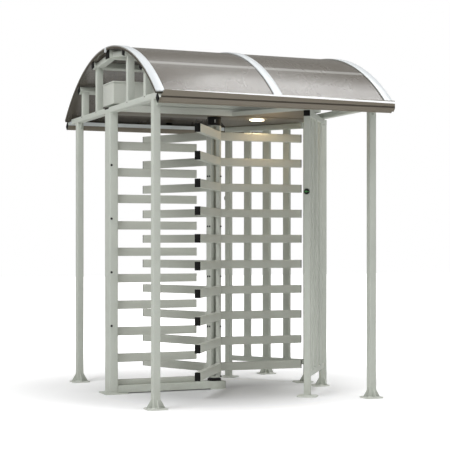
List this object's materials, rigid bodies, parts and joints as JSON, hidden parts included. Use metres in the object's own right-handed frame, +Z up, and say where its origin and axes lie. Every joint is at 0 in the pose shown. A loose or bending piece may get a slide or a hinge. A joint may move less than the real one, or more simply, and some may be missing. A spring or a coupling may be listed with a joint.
{
  "type": "full-height turnstile with a barrel-vault canopy",
  "caption": "Full-height turnstile: a barred rotor turns through a fixed comb beside a guide fence, under a head box and a barrel-vault canopy.",
  "frame": {"origin": "on the ground, under the rotor's axis, on the underside of the foot plate below the bottom bearing", "axes": "+Z up along the rotor's axis; X runs along the canopy's vault, with the fixed comb at -X and the guide fence at +X; +Y to the back, -Y to the front"},
  "size_m": [1.73, 2.187, 2.4632],
  "materials": {
    "grey_paint": "light grey-green powder coat, satin",
    "cabinet_paint": "light grey-green powder coat, smooth",
    "wing_paint": "light grey-green powder coat, satin",
    "hub_paint": "light grey-green powder coat, satin",
    "bronze_sheet": "bronze-tinted ribbed polycarbonate, slightly glossy",
    "white_trim": "white powder coat, semi-gloss",
    "eave_profile": "brown-grey coated sheet metal, satin",
    "ceiling_panel": "grey powder-coated sheet, matt",
    "black_cap": "moulded black plastic",
    "black_bearing": "black housing, satin",
    "lamp_lens": "milky lamp lens, glowing warm white",
    "indicator": "black lens with a green arrow"
  },
  "bodies": {
    "frame": {"canopy_post_front_left": "grey_paint", "canopy_post_back_left": "grey_paint", "canopy_post_front_right": "grey_paint", "canopy_post_back_right": "grey_paint", "gable_beam_left": "grey_paint", "gable_beam_right": "grey_paint", "gable_studs_left": "grey_paint", "gable_studs_right": "grey_paint", "ridge_purlin": "grey_paint", "inner_purlin_front": "grey_paint", "inner_purlin_back": "grey_paint", "middle_purlin_front": "grey_paint", "middle_purlin_back": "grey_paint", "eave_purlin_front": "grey_paint", "eave_purlin_back": "grey_paint", "tube_end_caps": "black_cap", "roof_sheet_left": "bronze_sheet", "roof_sheet_right": "bronze_sheet", "arch_strip_left": "white_trim", "arch_strip_middle": "white_trim", "arch_strip_right": "white_trim", "eave_profile_front": "eave_profile", "eave_profile_back": "eave_profile", "head_box": "cabinet_paint", "control_cabinet": "cabinet_paint", "passage_ceiling": "ceiling_panel", "ceiling_lamp": "lamp_lens", "top_bearing": "black_bearing", "comb_post": "grey_paint", "comb_bars": "grey_paint", "base_beam": "grey_paint", "bottom_bearing": "black_bearing", "fence_post_front": "grey_paint", "fence_post_back": "grey_paint", "fence_post_side_front": "grey_paint", "fence_post_side_back": "grey_paint", "fence_panel_front": "grey_paint", "fence_panel_side": "grey_paint", "fence_panel_back": "grey_paint", "indicator_front": "indicator", "indicator_back": "indicator"},
    "rotor": {"rotor_hub": "hub_paint", "rotor_wing_right": "wing_paint", "rotor_wing_back": "wing_paint", "rotor_wing_front": "wing_paint", "wing_end_caps": "black_cap"}
  },
  "joints": [
    {"name": "rotor_spin", "type": "hinge", "parent": "frame", "child": "rotor", "pos_m": [0, 0, 0], "axis": [0, 0, 1], "continuous": true}
  ]
}
